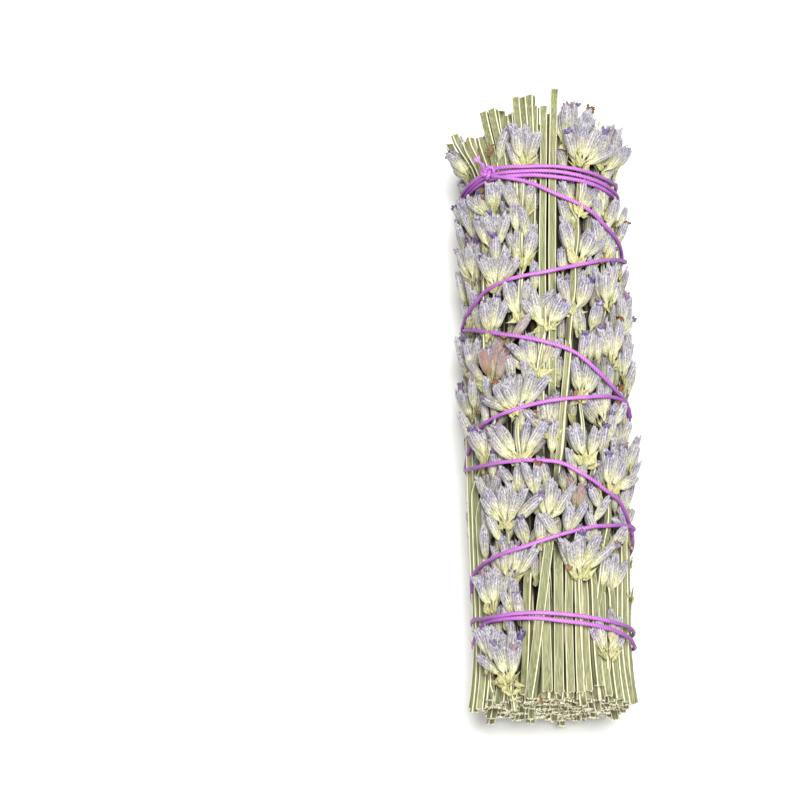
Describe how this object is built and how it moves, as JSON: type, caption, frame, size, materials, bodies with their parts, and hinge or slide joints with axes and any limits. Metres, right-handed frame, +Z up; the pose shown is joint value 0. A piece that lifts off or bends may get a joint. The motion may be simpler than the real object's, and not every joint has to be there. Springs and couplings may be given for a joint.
{
  "type": "dried lavender bunch",
  "caption": "Short thick bunch of dried lavender lying on its side: packed stems, flower sprigs laid round the outside, and a thread that ties both ends and criss-crosses between them.",
  "frame": {"origin": "on the surface the bunch lies on, under the middle of its bounding box", "axes": "+Y along the stems towards the flower tips, +Z up, +X to the right seen from the cut ends"},
  "size_m": [0.044, 0.1496, 0.0375],
  "materials": {
    "stems": "dry ribbed stalks, matte",
    "flowers": "dry papery flowers with a fine down, matte",
    "thread": "twisted and waxed cotton, satin"
  },
  "bodies": {
    "root": {"thread": "thread", "stems": "stems", "sprig_01": "flowers", "sprig_02": "flowers", "sprig_03": "flowers", "sprig_04": "flowers", "sprig_05": "flowers", "sprig_06": "flowers", "sprig_07": "flowers", "sprig_08": "flowers", "sprig_09": "flowers", "sprig_10": "flowers", "sprig_11": "flowers", "sprig_12": "flowers", "sprig_13": "flowers", "sprig_14": "flowers", "sprig_15": "flowers", "sprig_16": "flowers", "sprig_17": "flowers", "sprig_18": "flowers", "sprig_19": "flowers", "sprig_20": "flowers", "sprig_21": "flowers", "sprig_22": "flowers", "sprig_23": "flowers", "sprig_24": "flowers", "sprig_25": "flowers", "sprig_26": "flowers", "sprig_27": "flowers", "sprig_28": "flowers", "sprig_29": "flowers", "sprig_30": "flowers", "sprig_31": "flowers", "sprig_32": "flowers", "sprig_33": "flowers", "sprig_34": "flowers", "sprig_35": "flowers", "sprig_36": "flowers", "sprig_37": "flowers", "sprig_38": "flowers", "sprig_39": "flowers", "sprig_40": "flowers", "sprig_41": "flowers", "sprig_42": "flowers"}
  },
  "joints": []
}
